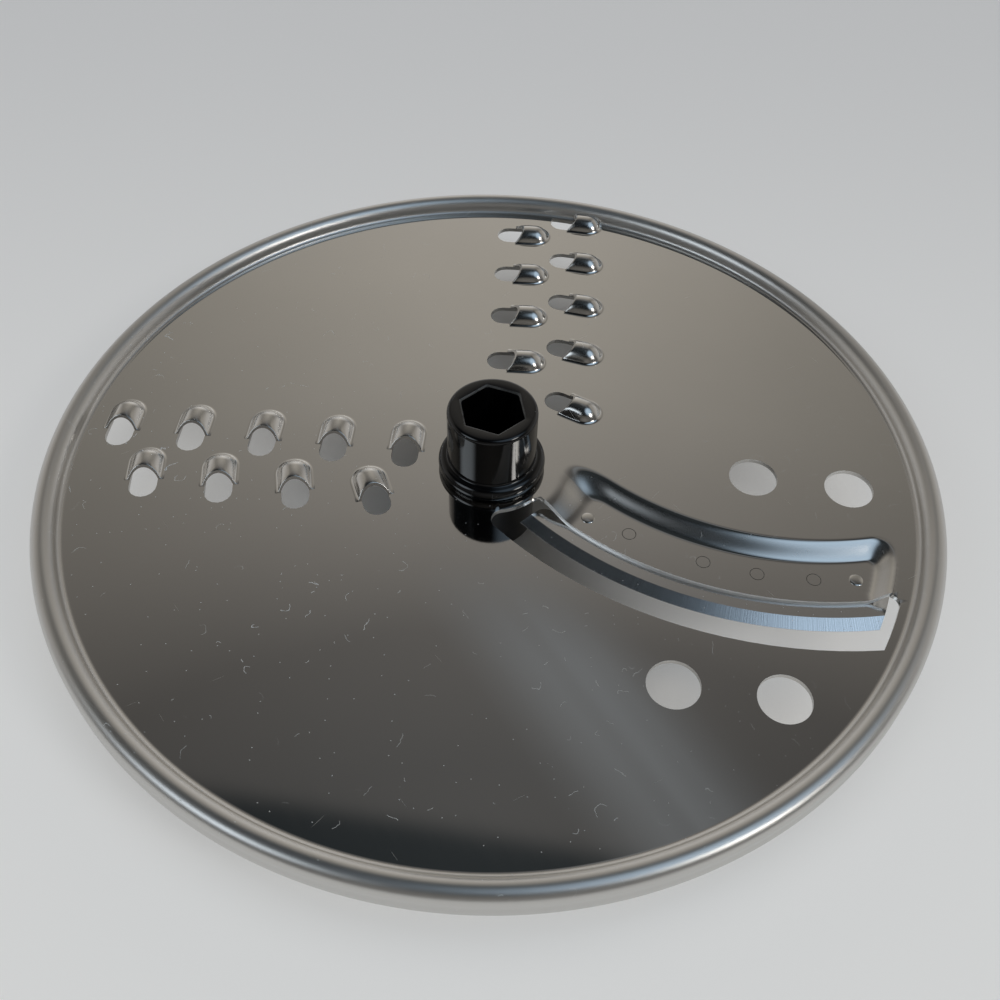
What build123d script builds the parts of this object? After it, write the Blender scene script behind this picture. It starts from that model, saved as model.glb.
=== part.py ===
import math
import os

from build123d import *

# Food processor disc that slices on one face and shreds on the other: a stamped steel plate with a rolled rim,
# a curved blade welded under it and a moulded hub with a hexagonal drive socket. Millimetres, +Z up, origin at
# the centre of the hub's lower end, shredding face up.

# Plate and rim
disc_radius = 86.9
sheet = 0.9
crown_height = 2.9  # top of the rolled bead above the plate
crown_bend = 2.2  # inner side of the bead, on the upper face
foot_bend = 1.0  # hollow where the plate turns up into the bead
shoulder_bend = 2.2  # outer side of the bead, on the upper face
skirt_drop = 2.9  # lower edge of the rim below the plate's upper face

# Hub
hub_radius = 8.6
hub_reach = 15.2  # each end of the hub beyond the plate
hub_edge = 0.9
collar_radius = 10.4
collar_height = 3.0
collar_edge = 0.9
socket_flats = 11.0
socket_angle = 40.0  # one corner of the socket, from +X
socket_break = 0.35
key_flats = 15.2  # hexagonal hole of the plate, which keys the hub
key_fit = 0.05

# Slicing slot, its shelf and the blade follow arcs about one centre, and end on arcs about the disc's axis: the
# inner ends clear the hub's collar, and the outer ends clear the foot of the rim
blade_centre = (61.2, 41.3)
shelf_radius = 62.8  # where the ramp meets the shelf
shelf_width = 8.9  # from there to the shelf's free lip
shelf_drop = 1.9
shelf_hub_gap = 10.0
mouth_hub_gap = 6.0  # one ramp short of where the gentle rise at the shelf's inner end meets the plate
shelf_rim_gap = 6.51
shelf_corner = 0.8
ramp_run = 3.2
ramp_top_bend = 3.5
ramp_foot_bend = 1.4
slot_gap = 6.3  # from the blade's edge to the edge that the slice passes over
slot_hub_gap = 1.5
slot_rim_gap = 1.41
slot_point = 2.4
slot_corner = 1.8

blade_thickness = 0.9
blade_setback = 1.5  # back of the blade from the ramp
blade_overhang = 5.1  # edge of the blade beyond the lip
blade_hub_gap = 2.7
blade_rim_gap = 3.11
blade_corner = 2.0
bevel_width = 2.4
edge_land = 0.12
tip_setback = 0.7  # back of the blade's narrow inner tip from the lip
tip_angle = -132.0
shoulder_angle = -126.0  # where the blade has its full width, about the same centre
tip_round = 2.4

# Round holes, as distance of the centre from the foot of the rim, and angle
round_hole_radius = 4.7
round_holes = ((30.2, -2.6), (11.8, -4.0), (23.4, -57.4), (10.0, -45.9))

# Shredding hoods
hood_radius = 3.4
hood_axis_depth = 1.25
hollow_radius = 2.85
hollow_axis_depth = 1.0
hood_length = 8.2  # feet to the back of the hood
hood_lean = 2.0  # crown of the opening behind its feet
hood_crown = 76.0  # the flat along a hood's crown starts at this angle of its arch
hollow_flank = 20.0
hole_radius = 2.65
hole_lead = 1.65  # centre of the hole ahead of the hood's feet

# Rows of hoods: angle of the row, its offset in the sense that the hoods face, distance of the first hole from
# the hub's collar and of the last one from the foot of the rim, and count
rows = (
    (175.7, 0.0, 6.9, 6.81, 5),
    (175.7, 12.5, 13.8, 14.2, 4),
    (87.6, 0.0, 19.1, 8.21, 4),
    (87.6, -12.6, 11.7, 1.41, 5),
)
hood_fan = 0.75  # share of the turn that would face an offset hood along its own circle

# Counts of the short flats that stand for a round bend
crown_count = 3
bend_count = 2
inside_count = 1
hood_count = 6
hole_count = 16

# Closeness by which edges are chosen at a level
near = 0.01

# Levels and places worked out from these
plate_bottom = hub_reach
plate_top = plate_bottom + sheet
hub_height = plate_top + hub_reach
collar_top = plate_top + collar_height
shelf_top = plate_top - shelf_drop
blade_top = shelf_top - sheet
blade_bottom = blade_top - blade_thickness
wall_angle = math.degrees(math.acos(1 - crown_height / (crown_bend + foot_bend)))
crown_radius = disc_radius - shoulder_bend
foot_radius = crown_radius - (crown_bend + foot_bend) * math.sin(math.radians(wall_angle))
lip_radius = shelf_radius + shelf_width
blade_back = shelf_radius + blade_setback
blade_edge = lip_radius + blade_overhang
slot_radius = blade_edge + slot_gap
tip_back = lip_radius - tip_setback
hood_height = hood_radius - hood_axis_depth
hood_reach = math.sqrt(hood_radius**2 - hood_axis_depth**2)
hood_flank = math.degrees(math.asin(hood_axis_depth / hood_radius))
hood_back = hole_lead + hood_length - hood_radius
past_tip_angle = tip_angle + 2 * (tip_angle - shoulder_angle)


def arc_points(centre, radius, start, sweep, flats):
    """Points along an arc, from its start angle, with a short flat between each two."""
    turns = [math.radians(start + sweep * step / flats) for step in range(flats + 1)]
    return [(centre[0] + radius * math.cos(turn), centre[1] + radius * math.sin(turn)) for turn in turns]


def about_blade_centre(radius, angle):
    """Point at a distance and an angle from the centre of the slot's arcs."""
    turn = math.radians(angle)
    return (blade_centre[0] + radius * math.cos(turn), blade_centre[1] + radius * math.sin(turn))


def ring_sector(inner, outer, hub_end, rim_end):
    """Part of a ring about the centre of the slot's arcs, between two arcs about the disc's axis."""
    with Locations(blade_centre):
        Circle(outer)
        Circle(inner, mode=Mode.SUBTRACT)
    Circle(rim_end, mode=Mode.INTERSECT)
    Circle(hub_end, mode=Mode.SUBTRACT)
    with Locations((0, -disc_radius)):
        Rectangle(2 * disc_radius, 2 * disc_radius, mode=Mode.INTERSECT)


def hood_places():
    """Location of each hood's hole on the plate, with X towards the back of the hood."""
    places = []
    for row_angle, side, hub_gap, rim_gap, count in rows:
        turn = math.radians(row_angle)
        first = collar_radius + hub_gap
        step = (foot_radius - rim_gap - first) / (count - 1)
        for place in range(count):
            along = math.sqrt((first + place * step) ** 2 - side**2)
            x = along * math.cos(turn) - side * math.sin(turn)
            y = along * math.sin(turn) + side * math.cos(turn)
            heading = row_angle - 90 + hood_fan * math.degrees(math.atan2(side, along))
            places.append(Location((x, y, plate_top), (0, 0, heading)))
    return places


def pressing(profile, front):
    """Body with the half widths and levels of a profile, straight from its front and round at its back."""
    with BuildPart() as body:
        for width, level in profile:
            with BuildSketch(Plane.XY.offset(level)):
                with BuildLine():
                    Polyline(
                        (front, -width),
                        (front, width),
                        *arc_points((hood_back, 0), width, 90, -180, hood_count),
                        close=True,
                    )
                make_face()
        loft(ruled=True)
    return body.part


# Outside of a hood, rooted in the sheet
hood_arch = arc_points((0, -hood_axis_depth), hood_radius, hood_flank, hood_crown - hood_flank, crown_count)
hood_dome = pressing([(hood_reach, -sheet / 2)] + hood_arch, hole_lead)

# What the punch removes: the hood's hollow, the hole ahead of it and the leaning front of its opening
hollow_sweep = hood_crown - hollow_flank
hollow_arch = arc_points((0, -hollow_axis_depth), hollow_radius, hollow_flank, hollow_sweep, bend_count)
with BuildPart() as hood_punch:
    add(pressing([(hollow_arch[0][0], -2 * sheet)] + hollow_arch, 0))
    with BuildSketch(Plane.XY.offset(-2 * sheet)):
        RegularPolygon(hole_radius, hole_count)
    extrude(amount=3 * sheet)
    with BuildSketch(Plane.XZ):
        with BuildLine():
            Polyline(
                (hole_lead, 0),
                (hole_lead + 2 * hood_lean, 2 * hood_height),
                (hole_lead - hood_radius, 2 * hood_height),
                (hole_lead - hood_radius, 0),
                close=True,
            )
        make_face()
    extrude(amount=hood_reach, both=True)

# Pressing that lowers the shelf: its floor, and its mouth one ramp further out
shelf_rim_end = foot_radius - shelf_rim_gap
with BuildPart() as shelf_hollow:
    with BuildSketch(Plane.XY.offset(shelf_top)) as floor:
        ring_sector(shelf_radius, lip_radius + sheet, collar_radius + shelf_hub_gap, shelf_rim_end)
        fillet(floor.vertices(), shelf_corner)
    with BuildSketch(Plane.XY.offset(plate_top)) as mouth:
        ring_sector(shelf_radius, lip_radius + sheet, collar_radius + mouth_hub_gap, shelf_rim_end)
        fillet(mouth.vertices(), shelf_corner)
        offset(amount=ramp_run)
    loft([floor.sketch, mouth.sketch], ruled=True)
    fillet(shelf_hollow.edges().group_by(Axis.Z)[0], ramp_foot_bend)

with BuildPart() as disc_plate:
    # Flat middle of the sheet with its hoods
    with BuildSketch(Plane.XY.offset(plate_bottom)):
        Circle(disc_radius)
    extrude(amount=sheet)
    with Locations(*hood_places()):
        add(hood_dome)
    with Locations(*hood_places()):
        add(hood_punch.part, mode=Mode.SUBTRACT)

    # Rolled rim in place of the sheet's edge
    with BuildSketch(Plane.XY.offset(plate_bottom)):
        Circle(disc_radius + hood_reach)
        Circle(foot_radius, mode=Mode.SUBTRACT)
    extrude(amount=sheet, mode=Mode.SUBTRACT)
    foot_centre = (foot_radius, plate_top + foot_bend)
    crown_centre = (crown_radius, plate_top + crown_height - crown_bend)
    shoulder_centre = (crown_radius, plate_top + crown_height - shoulder_bend)
    with BuildSketch(Plane.XZ):
        with BuildLine():
            Polyline(
                *arc_points(foot_centre, foot_bend, -90, wall_angle, bend_count),
                *arc_points(crown_centre, crown_bend, 90 + wall_angle, -wall_angle, crown_count)[1:],
                *arc_points(shoulder_centre, shoulder_bend, 90, -90, bend_count)[1:],
                (disc_radius, plate_top - skirt_drop),
                (disc_radius - sheet, plate_top - skirt_drop),
                *arc_points(shoulder_centre, shoulder_bend - sheet, 0, 90, inside_count),
                *arc_points(crown_centre, crown_bend - sheet, 90, wall_angle, inside_count)[1:],
                *arc_points(foot_centre, foot_bend + sheet, wall_angle - 90, -wall_angle, bend_count)[1:],
                close=True,
            )
        make_face()
    revolve(axis=Axis.Z)

    # Shelf, pressed down by the same hollow on both faces of the sheet
    add(shelf_hollow.part.moved(Location((0, 0, -sheet))))
    add(shelf_hollow.part, mode=Mode.SUBTRACT)
    mouth_edges = disc_plate.edges().filter_by_position(Axis.Z, plate_top - near, plate_top + near)
    fillet(mouth_edges.filter_by(lambda edge: edge.center().X > 0 > edge.center().Y), ramp_top_bend)

    # Slicing slot
    with BuildSketch(Plane.XY.offset(plate_top)) as slot:
        ring_sector(lip_radius, slot_radius, collar_radius + slot_hub_gap, foot_radius - slot_rim_gap)
        fillet(slot.vertices().sort_by(Axis.X)[0], slot_point)
        fillet([slot.vertices().sort_by(Axis.X)[-1], slot.vertices().sort_by(Axis.Y)[-1]], slot_corner)
    extrude(amount=-(shelf_drop + 2 * sheet), mode=Mode.SUBTRACT)

    # Round holes and the keyed centre hole
    with BuildSketch(Plane.XY.offset(plate_top)):
        for rim_gap, angle in round_holes:
            with PolarLocations(foot_radius - rim_gap, 1, start_angle=angle):
                Circle(round_hole_radius)
        RegularPolygon(key_flats / 2, 6, major_radius=False, rotation=socket_angle)
    extrude(amount=-sheet, mode=Mode.SUBTRACT)

with BuildPart() as slicing_blade:
    with BuildSketch(Plane.XY.offset(blade_bottom)) as blade_plan:
        ring_sector(blade_back, blade_edge, collar_radius + blade_hub_gap, foot_radius - blade_rim_gap)
        with BuildLine():
            Polyline(
                about_blade_centre(blade_back, shoulder_angle),
                about_blade_centre(tip_back, tip_angle),
                about_blade_centre(tip_back, past_tip_angle),
                blade_centre,
                close=True,
            )
        make_face(mode=Mode.SUBTRACT)
        fillet(blade_plan.vertices().sort_by(Axis.X)[-1], blade_corner)
        fillet(blade_plan.vertices().sort_by(Axis.Y)[-1], tip_round)
    extrude(amount=blade_thickness)
    with BuildSketch(Plane(origin=(*blade_centre, 0), x_dir=(1, 0, 0), z_dir=(0, -1, 0))):
        with BuildLine():
            Polyline(
                (blade_edge - bevel_width, blade_top),
                (blade_edge, blade_bottom + edge_land),
                (blade_edge + bevel_width, blade_bottom + edge_land),
                (blade_edge + bevel_width, blade_top),
                close=True,
            )
        make_face()
    revolve(axis=Axis((*blade_centre, 0), (0, 0, 1)), mode=Mode.SUBTRACT)

with BuildPart() as hub:
    with BuildSketch(Plane.XZ):
        with BuildLine():
            Polyline(
                (0, plate_top),
                (collar_radius - collar_edge, plate_top),
                (collar_radius, plate_top + collar_edge),
                (collar_radius, collar_top - collar_edge),
                (collar_radius - collar_edge, collar_top),
                (hub_radius, collar_top),
                (hub_radius, hub_height - hub_edge),
                (hub_radius - hub_edge, hub_height),
                (0, hub_height),
                close=True,
            )
        make_face()
    revolve(axis=Axis.Z)
    mirror(about=Plane.XY.offset((plate_top + plate_bottom) / 2))
    with BuildSketch(Plane.XY.offset(plate_bottom)):
        RegularPolygon(key_flats / 2 - key_fit, 6, major_radius=False, rotation=socket_angle)
    extrude(amount=sheet)
    with BuildSketch():
        RegularPolygon(socket_flats / 2, 6, major_radius=False, rotation=socket_angle)
    extrude(amount=hub_height, mode=Mode.SUBTRACT)
    mouths = hub.edges().filter_by(GeomType.LINE).filter_by(Plane.XY)
    chamfer(mouths.group_by(Axis.Z)[0] + mouths.group_by(Axis.Z)[-1], socket_break)

os.makedirs("parts", exist_ok=True)
disc_plate.part.label = "disc_plate"
slicing_blade.part.label = "slicing_blade"
hub.part.label = "hub"
export_step(disc_plate.part, "parts/disc_plate.step")
export_step(slicing_blade.part, "parts/slicing_blade.step")
export_step(hub.part, "parts/hub.step")
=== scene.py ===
import math

import bmesh
import bpy
from mathutils import Matrix, Vector


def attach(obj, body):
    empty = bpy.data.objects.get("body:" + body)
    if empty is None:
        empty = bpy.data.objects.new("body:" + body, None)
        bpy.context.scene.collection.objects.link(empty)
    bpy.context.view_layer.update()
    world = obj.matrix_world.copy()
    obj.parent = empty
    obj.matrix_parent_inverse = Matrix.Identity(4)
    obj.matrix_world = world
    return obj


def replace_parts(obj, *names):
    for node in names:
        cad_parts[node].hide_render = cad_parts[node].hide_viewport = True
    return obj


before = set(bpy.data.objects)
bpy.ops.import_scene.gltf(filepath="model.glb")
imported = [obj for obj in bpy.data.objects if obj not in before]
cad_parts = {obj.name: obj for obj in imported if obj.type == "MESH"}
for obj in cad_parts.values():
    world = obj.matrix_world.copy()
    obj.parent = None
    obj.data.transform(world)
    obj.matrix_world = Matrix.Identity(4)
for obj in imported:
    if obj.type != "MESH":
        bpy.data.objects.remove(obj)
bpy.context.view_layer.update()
scene = bpy.context.scene

# Sizes of the disc, in metres
mm = 0.001
plate_top = 16.1 * mm
plate_bottom = 15.2 * mm
shelf_top = 14.2 * mm
blade_centre = Vector((61.2 * mm, 41.3 * mm, 0))
blade_edge = 76.8 * mm
bevel_width = 2.4 * mm
lip_radius = 71.7 * mm
edge_break = 0.2 * mm
seam = 0.004 * mm  # how far a pressed form lies over the flat sheet
near = 0.02 * mm  # a face this close to the level of the plate belongs to its flat part
touching = 0.001 * mm  # places closer than this are one place

# Upward share of a face's normal: less than the first on a wall, more than the second on a flat
wall_rise = 0.05
flat_rise = 0.98

# Edges that turn by more than this stay sharp, on made pieces and on the blade
sharp_turn = math.radians(38)
blade_sharp_turn = math.radians(12)

# Rim: a bead pressed up from the sheet, with a short skirt
sheet_gauge = 0.9 * mm
disc_radius = 86.88 * mm
crown_radius = 84.7 * mm
crown_height = 2.9 * mm
crown_bend = 2.2 * mm
foot_bend = 1.0 * mm
skirt_drop = 2.9 * mm
wall_turn = math.acos(1 - crown_height / (crown_bend + foot_bend))
foot_radius = crown_radius - (crown_bend + foot_bend) * math.sin(wall_turn)
edge_round = 0.25 * mm
rim_lap = 0.15 * mm  # how far the bead reaches in over the flat sheet
rim_steps = 240

# Pressed shelf: where each slope meets the floor, and how far it runs up to the plate
shelf_back = 63.2 * mm
shelf_hub_end = 20.8 * mm
shelf_rim_end = foot_radius - 6.8 * mm
back_run = 4.5 * mm
hub_run = 7.0 * mm
rim_run = 3.5 * mm
shelf_corner = 0.45  # round corners of the floor, as a share of those runs
shelf_hub_gap = 1.0 * mm  # from the hub's neck to the shelf
shelf_rim_gap = 1.6 * mm  # from the shelf to the foot of the rim

# Rows of the shelf's faces about the blade's centre: close on the back slope, wider on the floor
shelf_start = math.radians(-144)
shelf_sweep = math.radians(72)
shelf_steps = 192
slope_start = 57.8 * mm
slope_pitch = 0.25 * mm
slope_rows = 26
floor_start = 65.1 * mm
floor_pitch = 1.08 * mm
floor_rows = 7

# Shredding hoods, each about the centre of its hole, with X towards the hood's back
hood_radius = 3.4 * mm
hood_axis_depth = 1.25 * mm
hood_wall = 0.45 * mm
hood_root = 0.9 * mm
hood_length = 8.2 * mm
hood_lean = 2.0 * mm
hood_crest = 2.3 * mm  # highest point of a hood, which falls from there to its lip and to its back
hood_crest_place = 0.42
hood_front_fall = 0.20
hood_back_fall = 0.22
hole_lead = 1.65 * mm
hood_height = hood_radius - hood_axis_depth
hood_back = hole_lead + hood_length - hood_radius
lip_round = 0.13 * mm
hood_fan = 0.75  # share of its own angle from the row's middle line by which a hood turns

# Rows of hoods: angle in degrees, then offset and gaps to collar and rim in millimetres, and count
hood_rows = (
    (175.7, 0.0, 6.9, 6.81, 5),
    (175.7, 12.5, 13.8, 14.2, 4),
    (87.6, 0.0, 19.1, 8.21, 4),
    (87.6, -12.6, 11.7, 1.41, 5),
)

# Hub: a moulding with a collar on each face of the plate
hub_radius = 8.6 * mm
hub_height = 31.3 * mm
hub_edge = 0.9 * mm
collar_radius = 10.4 * mm
collar_height = 3.0 * mm
collar_round = 1.35 * mm
collar_root = 0.5 * mm
neck_radius = 7.4 * mm
socket_flats = 11.0 * mm
socket_break = 0.35 * mm
socket_angle = math.radians(40)
hub_steps = 96

# Spot welds along the shelf, as distance in millimetres and angle in degrees about the blade's centre
weld_rings = ((66.7, -121.6), (66.7, -108.9), (66.7, -100.3), (66.7, -91.4))
weld_dimples = ((68.1, -128.7), (66.9, -84.7))
weld_radius = 1.3 * mm
weld_bead = 0.32 * mm
weld_section = ((-1, -1), (0, 0.3), (1, -1))  # of a ring, in beads across and up
dimple_height = 0.13  # as a share of its radius

# Camera, fitted to the rim and the hub: lens in millimetres and angles in degrees
camera_lens = 39.074
camera_sensor = 36.0
camera_place = (0, -141.83 * mm, 176.03 * mm)
camera_rise = 48.4327
camera_pan = 0.47724
camera_tilt = 1.92605
camera_roll = -1.07545
floor_reach = 3.0


class Value:
    """Output of a node. Arithmetic on it adds Math nodes."""

    def __init__(self, graph, socket):
        self.graph = graph
        self.socket = socket

    def beside(self, name):
        return Value(self.graph, self.socket.node.outputs[name])

    def math(self, operation, first, second=0.0):
        return self.graph.add("ShaderNodeMath", {"operation": operation}, {0: first, 1: second})

    def __add__(self, other):
        return self.math("ADD", self, other)

    def __radd__(self, other):
        return self.math("ADD", other, self)

    def __sub__(self, other):
        return self.math("SUBTRACT", self, other)

    def __rsub__(self, other):
        return self.math("SUBTRACT", other, self)

    def __mul__(self, other):
        return self.math("MULTIPLY", self, other)

    def __rmul__(self, other):
        return self.math("MULTIPLY", other, self)

    def __truediv__(self, other):
        return self.math("DIVIDE", self, other)

    def __rtruediv__(self, other):
        return self.math("DIVIDE", other, self)

    def __pow__(self, other):
        return self.math("POWER", self, other)

    def __or__(self, other):
        return self.math("MAXIMUM", self, other)

    def __abs__(self):
        return self.math("ABSOLUTE", self)


class Graph:
    """Nodes of a material or of the world."""

    def __init__(self, owner):
        owner.use_nodes = True
        self.owner = owner
        self.tree = owner.node_tree
        self.tree.nodes.clear()

    def add(self, kind, settings, sockets, output=0):
        node = self.tree.nodes.new(kind)
        for name, setting in settings.items():
            if name == "stops":
                for place, (position, colour) in enumerate(setting):
                    stops = node.color_ramp.elements
                    stop = stops[place] if place < len(stops) else stops.new(position)
                    stop.position = position
                    stop.color = (*colour, 1)
            else:
                setattr(node, name, setting)
        for name, value in sockets.items():
            if isinstance(value, Value):
                self.tree.links.new(value.socket, node.inputs[name])
            else:
                node.inputs[name].default_value = value
        return Value(self, node.outputs[output]) if node.outputs else None

    def place(self):
        return self.add("ShaderNodeTexCoord", {}, {}, "Object")

    def split(self, vector, axis):
        return self.add("ShaderNodeSeparateXYZ", {}, {"Vector": vector}, axis)

    def step(self, value, low, high):
        """0 below low, 1 above high and smooth between them. Low may be the larger."""
        return self.add(
            "ShaderNodeMapRange",
            {"interpolation_type": "SMOOTHSTEP"},
            {"Value": value, "From Min": low, "From Max": high},
        )

    def blend(self, share, first, second):
        settings = {"data_type": "RGBA"}
        return self.add("ShaderNodeMix", settings, {0: share, 6: first, 7: second}, 2)

    def stretched(self, place, turn, length, width):
        """The place in units of a length along a direction and a width across it."""
        return self.add(
            "ShaderNodeMapping",
            {"vector_type": "TEXTURE"},
            {"Vector": place, "Rotation": (0, 0, turn), "Scale": (length, width, 1)},
        )

    def face_mark(self, name):
        """The value that the faces of a piece keep under a name."""
        return self.add("ShaderNodeAttribute", {"attribute_name": name}, {}, "Fac")

    def noise(self, place, scale, detail):
        return self.add("ShaderNodeTexNoise", {}, {"Vector": place, "Scale": scale, "Detail": detail})

    def streaks(self, measure, scale, detail):
        """Noise along one measure alone."""
        settings = {"noise_dimensions": "1D"}
        return self.add("ShaderNodeTexNoise", settings, {"W": measure, "Scale": scale, "Detail": detail})

    def cells(self, place):
        """Distance to the middle of a cell about one unit wide, and three draws of that cell."""
        settings = {"voronoi_dimensions": "2D"}
        middle = self.add("ShaderNodeTexVoronoi", settings, {"Vector": place, "Scale": 1.0}, "Distance")
        draw = self.add("ShaderNodeSeparateColor", {}, {"Color": middle.beside("Color")}, "Red")
        return middle, draw

    def chosen(self, draw, share):
        """1 in the given share of cells, 0 in the others."""
        return self.step(draw, 1 - share, 1 - 0.9 * share)

    def marks(self, place, turn, length, width, share, reach=0.22):
        """Thin straight marks of one direction: 1 in a share of long narrow cells, 0 elsewhere."""
        middle, draw = self.cells(self.stretched(place, turn, length, width))
        return self.step(middle, reach, 0.5 * reach) * self.chosen(draw, share)

    def curls(self, place, cell, radius, width, share, turned):
        """Curled hairs: 1 on a piece of a small circle in the given share of cells, 0 elsewhere.

        Turned is the cosine of half the turn that such a piece makes.
        """
        grid = self.stretched(place, 0.0, cell, cell)
        middle, draw = self.cells(grid)
        subtract = {"operation": "SUBTRACT"}
        out = self.add("ShaderNodeVectorMath", subtract, {0: grid, 1: middle.beside("Position")})
        turn = middle.math("ARCTAN2", self.split(out, "Y"), self.split(out, "X"))
        turn = turn + draw.beside("Green") * math.tau
        ring = abs(middle - (0.4 + draw.beside("Blue")) * (radius / cell))
        hair = self.step(ring, width / cell, 0.4 * width / cell)
        piece = self.step(middle.math("COSINE", turn), turned, turned + 0.05)
        return hair * piece * self.chosen(draw, share)

    def surface(self, **sockets):
        named = {name.replace("_", " ").title(): value for name, value in sockets.items()}
        shader = self.add("ShaderNodeBsdfPrincipled", {}, named)
        self.add("ShaderNodeOutputMaterial", {}, {"Surface": shader})
        return self.owner


def polished_sheet():
    """Polished sheet, hazier where it is drawn, frosted at cut edges and painted lighter there as a
    highlight, with scratches, dust and lint.
    """
    steel = Graph(bpy.data.materials.new("polished_sheet"))
    place = steel.place()
    along = steel.split(place, "X")
    across = steel.split(place, "Y")
    radius = (along * along + across * across) ** 0.5
    height = steel.split(place, "Z")
    rim = steel.step(radius, foot_radius - 0.2 * mm, foot_radius + 0.5 * mm)
    fade = 0.4 * mm
    ramp = steel.step(height, shelf_top, shelf_top + fade) * steel.step(height, plate_top, plate_top - fade)
    drawn = (rim | ramp) | steel.step(height, plate_top, plate_top + fade)
    cut = steel.face_mark("cut_edge_and_highlight")
    cloud = steel.noise(place, 45.0, 4.0)
    rolled = steel.noise(steel.stretched(place, math.radians(-60), 60 * mm, 2.2 * mm), 1.0, 4.0)
    dusty = steel.step(along * -1.0 + across * -0.5, -0.04, 0.07)
    scratch = steel.marks(place, math.radians(28), 7 * mm, 0.22 * mm, 0.0016)
    scratch = scratch | steel.marks(place, math.radians(48), 8 * mm, 0.30 * mm, 0.0012)
    scratch = scratch | steel.marks(place, math.radians(-52), 6 * mm, 0.20 * mm, 0.0016)
    drift = 2.4 * mm
    sway = steel.add(
        "ShaderNodeVectorMath",
        {"operation": "MULTIPLY_ADD"},
        {0: steel.noise(place, 420.0, 2.0).beside("Color"), 1: (drift, drift, 0), 2: place},
    )
    patchy = steel.step(steel.noise(place, 38.0, 2.0), 0.46, 0.60)
    lint = steel.curls(sway, 7.3 * mm, 2.3 * mm, 0.085 * mm, 0.20, 0.87) * (0.45 + 0.55 * patchy)
    lint = lint | steel.curls(sway, 3.7 * mm, 1.1 * mm, 0.080 * mm, 0.17, 0.80) * patchy
    lint = lint | steel.curls(sway, 4.9 * mm, 0.9 * mm, 0.080 * mm, 0.09, -0.2) * patchy
    speck = steel.marks(place, 0.0, 2.2 * mm, 1.9 * mm, 0.12, 0.065)
    dust = (lint | speck * 0.8) * (0.2 + 0.8 * dusty)
    bare = steel.blend(cloud, (0.60, 0.585, 0.56, 1), (0.64, 0.625, 0.60, 1))
    # Cut edges: frosted, and painted lighter and less metallic as a highlight
    worn = steel.blend(scratch * 0.5 | cut * 0.8, bare, (0.85, 0.85, 0.84, 1))
    haze = 0.030 + cloud * 0.02 + rolled * 0.035
    haze = haze + drawn * (0.10 + cloud * 0.06) + ramp * 0.05 + rim * 0.17 + cut * 0.25
    return steel.surface(
        base_color=steel.blend(dust, worn, (0.82, 0.82, 0.80, 1)),
        metallic=1 - (dust | cut * 0.5),
        roughness=haze + scratch * 0.3 + dust * 0.4,
    )


def ground_blade():
    """Polished strip whose bevel is ground across its edge."""
    steel = Graph(bpy.data.materials.new("ground_blade"))
    place = steel.place()
    along = steel.split(place, "X") - blade_centre.x
    across = steel.split(place, "Y") - blade_centre.y
    radius = (along * along + across * across) ** 0.5
    angle = along.math("ARCTAN2", across, along)
    bevel_start = blade_edge - bevel_width
    ground = steel.step(radius, bevel_start - 0.1 * mm, bevel_start + 0.1 * mm)
    lines = steel.step(steel.streaks(angle, 900.0, 4.0), 0.35, 0.65)
    cloud = steel.noise(place, 60.0, 3.0)
    speck = steel.marks(place, 0.0, 1.3 * mm, 1.1 * mm, 0.10, 0.08)
    bare = steel.blend(cloud, (0.64, 0.63, 0.615, 1), (0.74, 0.73, 0.715, 1))
    filed = steel.blend(lines, (0.42, 0.42, 0.42, 1), (0.95, 0.95, 0.95, 1))
    worn = steel.blend(ground, bare, filed)
    return steel.surface(
        base_color=steel.blend(speck, worn, (0.62, 0.62, 0.60, 1)),
        metallic=1 - speck * 0.8,
        roughness=0.10 + cloud * 0.08 + ground * (0.04 + lines * 0.08) + speck * 0.3,
    )


def hub_plastic():
    """Glossy black moulding with a little dust, and socket edges rubbed grey and painted lighter as a
    highlight.
    """
    black = Graph(bpy.data.materials.new("glossy_moulding"))
    place = black.place()
    cloud = black.noise(place, 220.0, 4.0)
    speck = black.marks(place, 0.0, 1.6 * mm, 1.4 * mm, 0.06, 0.06)
    rub = black.marks(place, math.radians(70), 5 * mm, 0.2 * mm, 0.02)
    # Socket edges: rubbed grey and painted lighter as a highlight, in patches
    edge = black.face_mark("rubbed_edge_and_highlight") * black.step(cloud, 0.3, 0.6)
    grey = speck | rub * 0.3 | edge * 0.35
    return black.surface(
        base_color=black.blend(grey, (0.0028, 0.0028, 0.0032, 1), (0.22, 0.22, 0.21, 1)),
        roughness=0.06 + cloud * 0.08 + speck * 0.4 + rub * 0.15 + edge * 0.2,
    )


def settle(build):
    """Close the seams of a new form and turn its faces outwards."""
    bmesh.ops.remove_doubles(build, verts=build.verts, dist=0.5 * touching)
    bmesh.ops.recalc_face_normals(build, faces=build.faces)


def rounded(build, edges, offset, segments, clamp=False):
    """Round edges of a form. Gives the new faces and the faces next to them."""
    return bmesh.ops.bevel(
        build,
        geom=edges,
        offset=offset,
        segments=segments,
        profile=0.5,
        affect="EDGES",
        material=-1,
        clamp_overlap=clamp,
    )["faces"]


def kept_mesh(name, build):
    """Keep a finished form as a mesh."""
    mesh = bpy.data.meshes.new(name)
    build.to_mesh(mesh)
    build.free()
    return mesh


def finish_piece(name, build, material):
    """Turn a bmesh into a piece of the object, smooth apart from its sharp edges."""
    for face in build.faces:
        face.smooth = True
    for edge in build.edges:
        edge.smooth = len(edge.link_faces) == 2 and edge.calc_face_angle() < sharp_turn
    mesh = kept_mesh(name, build)
    mesh.materials.append(material)
    piece = bpy.data.objects.new(name, mesh)
    scene.collection.objects.link(piece)
    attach(piece, "root")
    return piece


def flat_faces_first(piece):
    """Keep flat faces flat where they run into a bend."""
    weight = piece.modifiers.new("flat_faces_first", "WEIGHTED_NORMAL")
    weight.mode = "FACE_AREA"
    weight.keep_sharp = True


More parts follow.
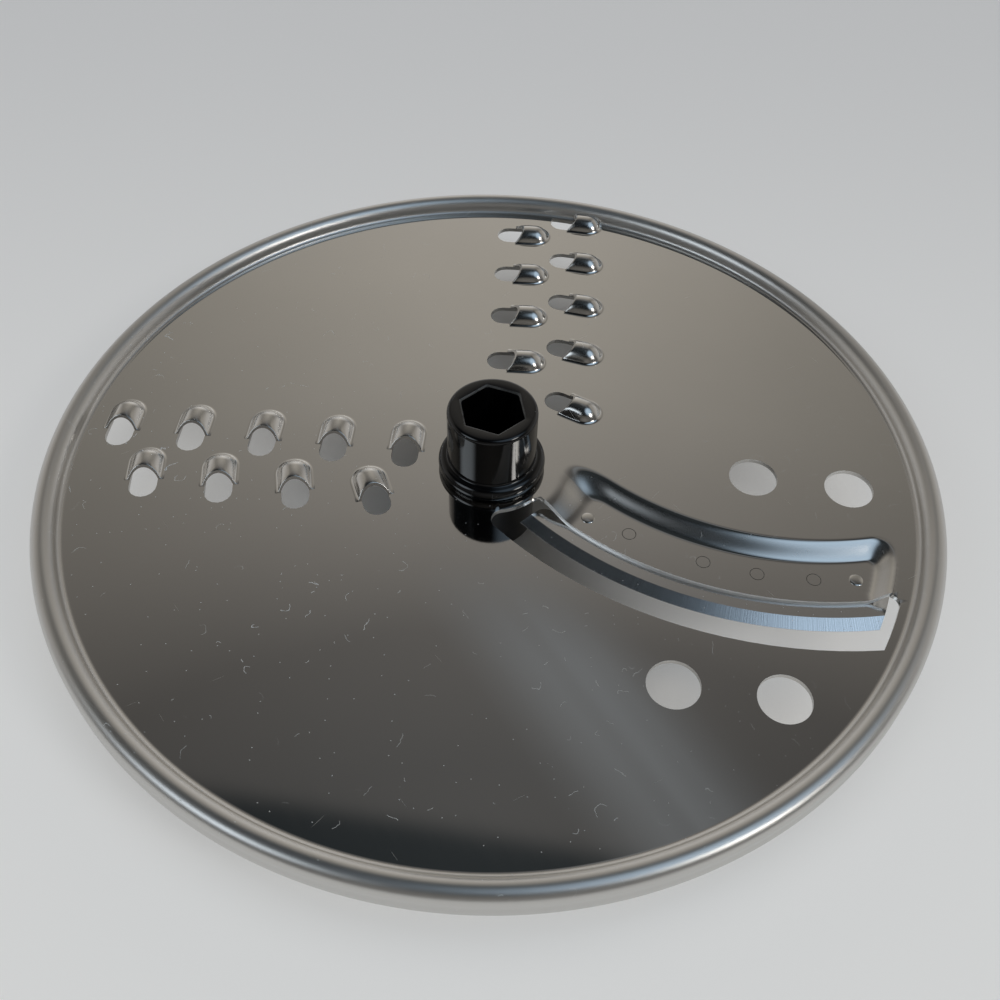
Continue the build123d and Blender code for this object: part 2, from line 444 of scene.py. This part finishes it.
def bend(centre, radius, start, sweep, count):
    """Points along a bend of a section, as (out, up), from its start."""
    turns = [start + sweep * place / count for place in range(count + 1)]
    return [(centre[0] + radius * math.cos(turn), centre[1] + radius * math.sin(turn)) for turn in turns]


def spun(build, profile, centre, start, steps):
    """Spin a closed profile of (radius, height) points a full turn about an upright axis."""
    turn = Matrix.Rotation(start, 3, "Z")
    section = [turn @ Vector((radius, 0, height)) for radius, height in profile]
    corners = [build.verts.new(centre + place) for place in section]
    outline = [build.edges.new((corners[place - 1], corners[place])) for place in range(len(corners))]
    bmesh.ops.spin(
        build,
        geom=corners + outline,
        cent=centre,
        axis=(0, 0, 1),
        angle=2 * math.pi,
        steps=steps,
        use_merge=True,
    )


def rolled_rim():
    """Bead and skirt at the edge of the sheet."""
    quarter = math.pi / 2
    foot_over = (foot_radius, plate_top + foot_bend + seam)
    foot_under = (foot_radius, plate_top + foot_bend - seam)
    crown = (crown_radius, plate_top + crown_height - crown_bend)
    outside = disc_radius - crown_radius
    skirt = plate_top - skirt_drop + edge_round
    inner_edge = disc_radius - sheet_gauge + edge_round
    profile = [(foot_radius - rim_lap, plate_top + seam)]
    profile += bend(foot_over, foot_bend, -quarter, wall_turn, 7)
    profile += bend(crown, crown_bend, quarter + wall_turn, -wall_turn, 10)[1:]
    profile += bend(crown, outside, quarter, -quarter, 10)[1:]
    profile += bend((disc_radius - edge_round, skirt), edge_round, 0, -quarter, 3)
    profile += bend((inner_edge, skirt), edge_round, -quarter, -quarter, 3)
    profile += bend(crown, outside - sheet_gauge, 0, quarter + wall_turn, 12)
    profile += bend(foot_under, foot_bend + sheet_gauge, wall_turn - quarter, -wall_turn, 6)[1:]
    profile += [(foot_radius - rim_lap, plate_bottom - seam)]
    build = bmesh.new()
    spun(build, profile, Vector(), 0.0, rim_steps)
    settle(build)
    return kept_mesh("rolled_rim", build)


def shredding_hood():
    """One hood about the centre of its hole: a round back, a straight body and a leaning lip."""
    quarter = math.pi / 2
    root_out = math.sqrt((hood_radius + hood_root) ** 2 - (hood_axis_depth + hood_root) ** 2)
    flank = math.asin((hood_axis_depth + hood_root) / (hood_radius + hood_root))
    inside = hood_radius - hood_wall
    sunk = 0.3 * mm
    root_edge = root_out + 0.08 * mm
    inside_start = math.asin((hood_axis_depth - sunk) / inside)
    axis = (0, -hood_axis_depth)
    profile = bend(axis, inside, quarter, inside_start - quarter, 10)
    profile += [(root_edge, -sunk), (root_edge, seam)]
    profile += bend((root_out, hood_root + seam), hood_root, -quarter, flank - quarter, 6)
    profile += bend(axis, hood_radius, flank, quarter - flank, 12)[1:]
    build = bmesh.new()
    corners = [build.verts.new((hood_back, out, up)) for out, up in profile]
    outline = [build.edges.new(pair) for pair in zip(corners, corners[1:])]
    bmesh.ops.spin(
        build,
        geom=corners + outline,
        cent=(hood_back, 0, 0),
        axis=(0, 0, -1),
        angle=math.pi,
        steps=20,
    )
    bmesh.ops.remove_doubles(build, verts=build.verts, dist=0.5 * touching)

    # Straight body in four lengths, towards a front that leans back
    front = [edge for edge in build.edges if edge.is_boundary]
    front = [edge for edge in front if all(abs(end.co.x - hood_back) < touching for end in edge.verts)]
    for left in (4, 3, 2, 1):
        grown = bmesh.ops.extrude_edge_only(build, edges=front)["geom"]
        for vertex in (item for item in grown if isinstance(item, bmesh.types.BMVert)):
            mouth = hole_lead + hood_lean * max(vertex.co.z, 0) / hood_height
            vertex.co.x += (mouth - vertex.co.x) / left
        front = [item for item in grown if isinstance(item, bmesh.types.BMEdge)]
    lip = bmesh.ops.edgeloop_fill(build, edges=front)["faces"]
    lip += rounded(build, front, lip_round, 3, clamp=True)
    # The lip is marked as a cut edge: frosted, and painted lighter as a highlight
    cut_edge_and_highlight = build.faces.layers.float.new("cut_edge_and_highlight")
    for face in (face for face in lip if face.is_valid):
        face[cut_edge_and_highlight] = 1.0

    # Crest, with a fall to the lip and a fall to the back
    for vertex in (vertex for vertex in build.verts if vertex.co.z > 0):
        share = (vertex.co.x - hole_lead) / hood_length - hood_crest_place
        front_fall = hood_front_fall * (min(share, 0) / hood_crest_place) ** 2
        back_fall = hood_back_fall * (max(share, 0) / (1 - hood_crest_place)) ** 2
        vertex.co.z *= hood_crest / hood_height * (1 - front_fall - back_fall)
    settle(build)
    return kept_mesh("shredding_hood", build)


def hood_places():
    """Where each hood's hole is on the sheet, turned so that X runs to the hood's back."""
    places = []
    for row_angle, side, hub_gap, rim_gap, count in hood_rows:
        turn = Matrix.Rotation(math.radians(row_angle), 4, "Z")
        first = collar_radius / mm + hub_gap
        pitch = (foot_radius / mm - rim_gap - first) / (count - 1)
        for number in range(count):
            along = math.sqrt((first + number * pitch) ** 2 - side**2)
            fan = math.radians(hood_fan * math.degrees(math.atan2(side, along)) - 90)
            spot = turn @ Matrix.Translation((along * mm, side * mm, plate_top))
            places.append(spot @ Matrix.Rotation(fan, 4, "Z"))
    return places


def shelf_height(place):
    """Height of the sheet's upper face over the shelf and its slopes."""
    back = (shelf_back - (place - blade_centre).xy.length) / back_run
    hub_end = (shelf_hub_end - place.xy.length) / hub_run
    rim_end = (place.xy.length - shelf_rim_end) / rim_run
    corner = [max(slope + shelf_corner, 0) for slope in (back, hub_end, rim_end)]
    share = min(max(math.hypot(*corner) - shelf_corner, 0), 1)
    return shelf_top + (plate_top - shelf_top) * share**2 * (3 - 2 * share)


def pressed_shelf():
    """Shelf along the slot with its soft slopes and its frosted lip, which is also painted lighter as a
    highlight.
    """
    build = bmesh.new()
    cut_edge_and_highlight = build.faces.layers.float.new("cut_edge_and_highlight")
    radii = [slope_start + slope_pitch * place for place in range(slope_rows)]
    radii += [floor_start + floor_pitch * place for place in range(floor_rows)]
    lip_bend = 0.3 * edge_break
    falls = [0.0] * len(radii) + [lip_bend, edge_break]
    radii += [lip_radius - lip_bend, lip_radius]
    rows = []
    for step in range(shelf_steps + 1):
        turn = shelf_start + shelf_sweep * step / shelf_steps
        row = []
        for radius, fall in zip(radii, falls):
            corner = blade_centre + radius * Vector((math.cos(turn), math.sin(turn), 0))
            corner.z = shelf_height(corner) + seam - fall
            row.append(build.verts.new(corner))
        rows.append(row)
    for row, after in zip(rows, rows[1:]):
        for place in range(len(radii) - 1):
            corners = (row[place], row[place + 1], after[place + 1], after[place])
            reach = [corner.co.xy.length for corner in corners]
            if min(reach) > neck_radius + shelf_hub_gap and max(reach) < foot_radius - shelf_rim_gap:
                build.faces.new(corners)
    grown = bmesh.ops.extrude_face_region(build, geom=build.faces[:], use_keep_orig=True)["geom"]
    for vertex in (item for item in grown if isinstance(item, bmesh.types.BMVert)):
        vertex.co.z = shelf_height(vertex.co) - sheet_gauge + seam
    loose = [vertex for vertex in build.verts if not vertex.link_faces]
    bmesh.ops.delete(build, geom=loose, context="VERTS")
    lip_start = lip_radius - 1.1 * edge_break
    for face in build.faces:
        if all((corner.co - blade_centre).xy.length > lip_start for corner in face.verts):
            face[cut_edge_and_highlight] = 1.0
    settle(build)
    return kept_mesh("pressed_shelf", build)


def level_shelf_ends(build):
    """Level the sheet beyond both ends of the shelf, so that it meets the slopes made here."""
    upper_side = (plate_top + plate_bottom) / 2 - 0.2 * mm
    hub_slope = shelf_hub_end - hub_run
    rim_slope = shelf_rim_end + rim_run
    rim_side = foot_radius - 0.5 * mm
    lip_side = lip_radius + 1.0 * mm
    for vertex in build.verts:
        reach = vertex.co.xy.length
        beyond = collar_radius < reach < hub_slope or rim_slope < reach < rim_side
        if beyond and vertex.co.x > 0 and (vertex.co - blade_centre).xy.length < lip_side:
            vertex.co.z = plate_top if vertex.co.z > upper_side else plate_bottom
    build.normal_update()


def coarse_faces(build):
    """Faces of the rim, the shelf and the hoods, which are made again in their round shapes."""
    coarse = []
    shelf_side = foot_radius - 1.5 * mm
    for face in build.faces:
        middle = face.calc_center_median()
        reach = min(vertex.co.xy.length for vertex in face.verts)
        heights = [vertex.co.z for vertex in face.verts]
        level = all(min(abs(height - plate_top), abs(height - plate_bottom)) <= near for height in heights)
        rim = reach > foot_radius - near and not (level and abs(face.normal.z) >= 0.999)
        shelf = middle.x > 0 and middle.y < collar_radius and reach < shelf_side and not level
        hood = middle.z > plate_top + 0.5 * near and middle.xy.length < foot_radius
        if rim or shelf or hood:
            coarse.append(face)
    return coarse


def break_edges(build):
    """Break the upper edges of the slot and of the holes, and mark them for frost and a painted highlight,
    and the cut walls below them for a little frost.
    """
    cut_edge_and_highlight = build.faces.layers.float.new("cut_edge_and_highlight")
    wall_frost = 0.12
    for face in build.faces:
        if abs(face.normal.z) < wall_rise:
            face[cut_edge_and_highlight] = wall_frost
    upper = []
    for edge in build.edges:
        if len(edge.link_faces) == 2 and edge.calc_face_angle() > math.radians(60):
            flat, wall = sorted(edge.link_faces, key=lambda face: -face.normal.z)
            if flat.normal.z > 0.9 and abs(wall.normal.z) < wall_rise:
                upper.append(edge)
    broken = rounded(build, upper, edge_break, 2, clamp=True)
    build.normal_update()
    # The broken edges get the full mark, which paints a highlight on them
    for face in broken:
        if wall_rise < face.normal.z < flat_rise:
            face[cut_edge_and_highlight] = 1.0


def pressed_disc(material):
    """The sheet with its slot and holes, and with its rim, shelf and hoods in their round shapes."""
    build = bmesh.new()
    build.from_mesh(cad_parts["disc_plate"].data)
    bmesh.ops.remove_doubles(build, verts=build.verts, dist=touching)
    level_shelf_ends(build)
    bmesh.ops.delete(build, geom=coarse_faces(build), context="FACES")
    break_edges(build)
    build.from_mesh(rolled_rim())
    build.from_mesh(pressed_shelf())
    hood = shredding_hood()
    for place in hood_places():
        known = len(build.verts)
        build.from_mesh(hood)
        build.verts.ensure_lookup_table()
        bmesh.ops.transform(build, matrix=place, verts=build.verts[known:])
    piece = finish_piece("pressed_disc", build, material)
    flat_faces_first(piece)
    return piece


def hub_moulding(material):
    """Hub with round collars and a hexagonal socket right through it."""
    build = bmesh.new()
    rubbed_edge_and_highlight = build.faces.layers.float.new("rubbed_edge_and_highlight")
    corner = socket_flats / 2 / math.cos(math.radians(30))
    middle = (plate_top + plate_bottom) / 2
    upper = [
        (corner, hub_height),
        (hub_radius, hub_height),
        (hub_radius, plate_top + collar_height),
        (collar_radius, plate_top + collar_height),
        (collar_radius, plate_top),
        (neck_radius, plate_top),
    ]
    lower = [(radius, 2 * middle - height) for radius, height in reversed(upper)]
    spun(build, upper + lower, Vector(), socket_angle, hub_steps)
    for vertex in build.verts:
        radius = vertex.co.xy.length
        if radius < corner + socket_break:
            turn = (math.atan2(vertex.co.y, vertex.co.x) - socket_angle) % math.radians(60)
            side = corner * math.cos(math.radians(30)) / math.cos(turn - math.radians(30))
            vertex.co.xy *= side / radius

    def rings(radius, height):
        """Edges of the ring at a radius, at a height and at its mirror image."""
        found = []
        for edge in build.edges:
            ends = [vertex.co for vertex in edge.verts]
            mirrored = 2 * middle - height
            level = all(min(abs(end.z - height), abs(end.z - mirrored)) < touching for end in ends)
            if level and all(abs(end.xy.length - radius) < touching for end in ends):
                found.append(edge)
        return found

    def at_mouth(end):
        """Whether a corner lies on the edge of the socket, at either end of the hub."""
        return end.xy.length < corner + touching and min(end.z, hub_height - end.z) < touching

    collar = rings(collar_radius, plate_top + collar_height) + rings(collar_radius, plate_top)
    rounded(build, collar, collar_round, 6)
    rounded(build, rings(hub_radius, plate_top + collar_height), collar_root, 4)
    rounded(build, rings(hub_radius, hub_height), hub_edge, 5)
    mouths = [edge for edge in build.edges if all(at_mouth(vertex.co) for vertex in edge.verts)]
    rounded(build, mouths, socket_break, 3)
    build.normal_update()
    # Mark the socket's rounded edges, which are painted rubbed grey and lighter as a highlight
    for face in build.faces:
        inner = face.calc_center_median().xy.length < corner + socket_break
        face[rubbed_edge_and_highlight] = 1.0 if inner and wall_rise < abs(face.normal.z) < flat_rise else 0.0
    settle(build)
    return finish_piece("hub_moulding", build, material)


def weld_scale():
    """Dull grey scale left by a spot weld."""
    scale = Graph(bpy.data.materials.new("weld_scale"))
    cloud = scale.noise(scale.place(), 900.0, 2.0)
    return scale.surface(
        base_color=scale.blend(cloud, (0.10, 0.095, 0.09, 1), (0.24, 0.235, 0.225, 1)),
        metallic=1.0,
        roughness=0.3,
    )


def weld_place(distance, angle):
    """Where a weld is on the floor of the shelf."""
    turn = math.radians(angle)
    place = blade_centre + distance * mm * Vector((math.cos(turn), math.sin(turn), 0))
    place.z = shelf_top
    return place


def ring_welds(material):
    """Ring marks of the spot welds on the shelf."""
    build = bmesh.new()
    profile = [(weld_radius + weld_bead * across, weld_bead * up) for across, up in weld_section]
    for distance, angle in weld_rings:
        spun(build, profile, weld_place(distance, angle), 0.0, 36)
    settle(build)
    return finish_piece("ring_welds", build, material)


def dimple_welds(material):
    """A dimple at each end of the row of welds."""
    build = bmesh.new()
    for distance, angle in weld_dimples:
        place = Matrix.Translation(weld_place(distance, angle))
        squat = place @ Matrix.Diagonal((1, 1, dimple_height, 1))
        bmesh.ops.create_uvsphere(build, u_segments=32, v_segments=16, radius=weld_radius, matrix=squat)
    settle(build)
    return finish_piece("dimple_welds", build, material)


def smooth_bends(piece):
    """Shade the flats of the blade's bends as round surfaces, and keep its sharp edges."""
    tree = bpy.data.node_groups.new("smooth_bends_" + piece.name, "GeometryNodeTree")
    tree.interface.new_socket("Geometry", in_out="INPUT", socket_type="NodeSocketGeometry")
    tree.interface.new_socket("Geometry", in_out="OUTPUT", socket_type="NodeSocketGeometry")
    entry = tree.nodes.new("NodeGroupInput")
    leave = tree.nodes.new("NodeGroupOutput")
    merge = tree.nodes.new("GeometryNodeMergeByDistance")
    merge.inputs["Distance"].default_value = touching
    angle = tree.nodes.new("GeometryNodeInputMeshEdgeAngle")
    sharp = tree.nodes.new("FunctionNodeCompare")
    sharp.operation = "GREATER_THAN"
    sharp.inputs[1].default_value = blade_sharp_turn
    shade = tree.nodes.new("GeometryNodeSetMeshNormal")
    shade.mode = "SHARPNESS"
    tree.links.new(entry.outputs[0], merge.inputs[0])
    tree.links.new(merge.outputs[0], shade.inputs["Mesh"])
    tree.links.new(angle.outputs["Unsigned Angle"], sharp.inputs[0])
    shade.inputs["Remove Custom"].default_value = True
    tree.links.new(sharp.outputs[0], shade.inputs["Edge Sharpness"])
    tree.links.new(shade.outputs[0], leave.inputs[0])
    bends = piece.modifiers.new("smooth_bends", "NODES")
    bends.node_group = tree
    flat_faces_first(piece)


def room():
    """Room light: pale behind the disc, dark overhead and in front, with soft lamps."""
    world = bpy.data.worlds.new("room")
    scene.world = world
    air = Graph(world)
    heading = air.add("ShaderNodeTexCoord", {}, {}, "Generated")
    aside = air.split(heading, "X")
    ahead = air.split(heading, "Y")
    up = air.split(heading, "Z")

    # Colours from the horizon up
    stops = (
        (0.0, (0.90, 0.89, 0.88)),
        (0.30, (0.80, 0.78, 0.75)),
        (0.50, (0.56, 0.535, 0.50)),
        (0.62, (0.49, 0.465, 0.42)),
        (0.70, (0.42, 0.40, 0.365)),
        (0.77, (0.31, 0.295, 0.275)),
        (0.84, (0.155, 0.15, 0.145)),
        (0.90, (0.115, 0.115, 0.115)),
    )
    colour = air.add("ShaderNodeValToRGB", {"stops": stops}, {"Fac": up})

    # Dark overhead, beyond a straight edge across the room
    overhead = air.step(ahead + 0.15 * aside - 0.415 * up, 0.012, -0.014) * air.step(up, 0.60, 0.78)
    colour = air.blend(overhead, colour, (0.032, 0.038, 0.042, 1))

    # Streaky beam that slants across the sheet
    lean = (aside + 0.67 * ahead) / (up | 0.05) - 0.487
    beam = air.step(abs(lean), 0.125, 0.01) * air.step(up, 0.79, 0.86) * air.step(up, 0.985, 0.93)
    beam = beam * (0.30 + 1.1 * air.streaks(lean, 34.0, 3.0))
    colour = air.blend(beam, colour, (0.235, 0.25, 0.265, 1))

    # Light falls off to the sides, apart from the walls and the right, and in front
    turn = up.math("ARCTAN2", aside, ahead)
    walls = air.step(abs(turn), math.radians(30), math.radians(48)) * air.step(up, 0.80, 0.66)
    right = air.step(aside - 0.50 * up, 0.0, 0.09) * air.step(ahead, 0.1, 0.3) * air.step(up, 0.60, 0.74)
    sides = 1 / (1 + (aside / 0.42) ** 2) + 0.45 * walls + 0.2 * right
    front = 0.20 + 0.80 * air.step(ahead, -0.25, 0.2)
    sky = air.add("ShaderNodeBackground", {}, {"Color": colour, "Strength": sides * front})

    # Lamps: where, half the angle of the core and of the edge in degrees, strength and tint
    lamps = (
        ((-0.66, -0.37, 0.66), 4, 19, 2.2, (0.80, 0.90, 1.0)),
        ((0.66, -0.42, 0.62), 2, 9, 10.0, (1.0, 0.98, 0.95)),
        ((0.42, -0.20, 0.885), 10, 28, 1.0, (0.60, 0.79, 1.0)),
    )
    for spot, core, edge, strength, tint in lamps:
        toward = Vector(spot).normalized()
        dot = {"operation": "DOT_PRODUCT"}
        facing = air.add("ShaderNodeVectorMath", dot, {0: heading, 1: toward}, "Value")
        share = air.step(facing, math.cos(math.radians(edge)), math.cos(math.radians(core)))
        lamp = air.add("ShaderNodeBackground", {}, {"Color": (*tint, 1), "Strength": share * strength})
        sky = air.add("ShaderNodeAddShader", {}, {0: sky, 1: lamp})
    air.add("ShaderNodeOutputWorld", {}, {"Surface": sky})


def pale_floor():
    """Pale paint with a glow of its own, painted brighter in front and darker at the back, and left out in
    the shade of the disc as painted shade, apart from painted light under its front half.
    """
    pale = Graph(bpy.data.materials.new("pale_floor"))
    place = pale.place()
    across = pale.split(place, "X")
    deep = pale.split(place, "Y")
    paint = {"Base Color": (0.80, 0.795, 0.785, 1), "Roughness": 0.6}
    lit = pale.add("ShaderNodeBsdfPrincipled", {}, paint)
    # The glow is painted brighter in front and darker at the back
    shade = pale.blend(pale.step(deep, 0.26, -0.14), (0.72, 0.72, 0.725, 1), (1.12, 1.12, 1.10, 1))
    glow = pale.add("ShaderNodeEmission", {}, {"Color": shade, "Strength": 1.0})
    path = pale.add("ShaderNodeLightPath", {}, {}, "Is Camera Ray")
    seen = (path | path.beside("Is Glossy Ray")) | path.beside("Is Transmission Ray")
    away = (across**2 + deep**2) ** 0.5
    # Glow kept under the front half of the disc as painted light, and left out nearer its middle as painted
    # shade
    painted_light_under_disc = pale.step(away, 0.015, 0.08) * pale.step(deep, 0.06, 0.01) * 0.8
    open_floor = pale.step(away, 0.06, 0.095) | painted_light_under_disc
    shown = pale.add("ShaderNodeMixShader", {}, {0: seen * open_floor * 0.42, 1: lit, 2: glow})
    pale.add("ShaderNodeOutputMaterial", {}, {"Surface": shown})
    return pale.owner


def stage():
    """Floor, room light and camera."""
    build = bmesh.new()
    bmesh.ops.create_grid(build, x_segments=1, y_segments=1, size=floor_reach)
    mesh = kept_mesh("floor", build)
    mesh.materials.append(pale_floor())
    floor = bpy.data.objects.new("floor", mesh)
    scene.collection.objects.link(floor)
    room()

    view = bpy.data.cameras.new("camera")
    view.lens = camera_lens
    view.sensor_width = camera_sensor
    view.clip_start = 0.01
    camera = bpy.data.objects.new("camera", view)
    camera.location = camera_place
    turned = Matrix.Rotation(math.radians(90 - camera_rise), 3, "X")
    turned = turned @ Matrix.Rotation(math.radians(-camera_pan), 3, "Y")
    turned = turned @ Matrix.Rotation(math.radians(-camera_tilt), 3, "X")
    turned = turned @ Matrix.Rotation(math.radians(-camera_roll), 3, "Z")
    camera.rotation_euler = turned.to_euler()
    scene.collection.objects.link(camera)
    scene.camera = camera
    scene.view_settings.view_transform = "Standard"


sheet = polished_sheet()
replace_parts(pressed_disc(sheet), "disc_plate")
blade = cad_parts["slicing_blade"]
blade.material_slots[0].material = ground_blade()
smooth_bends(blade)
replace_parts(hub_moulding(hub_plastic()), "hub")
ring_welds(weld_scale())
dimple_welds(sheet)
stage()
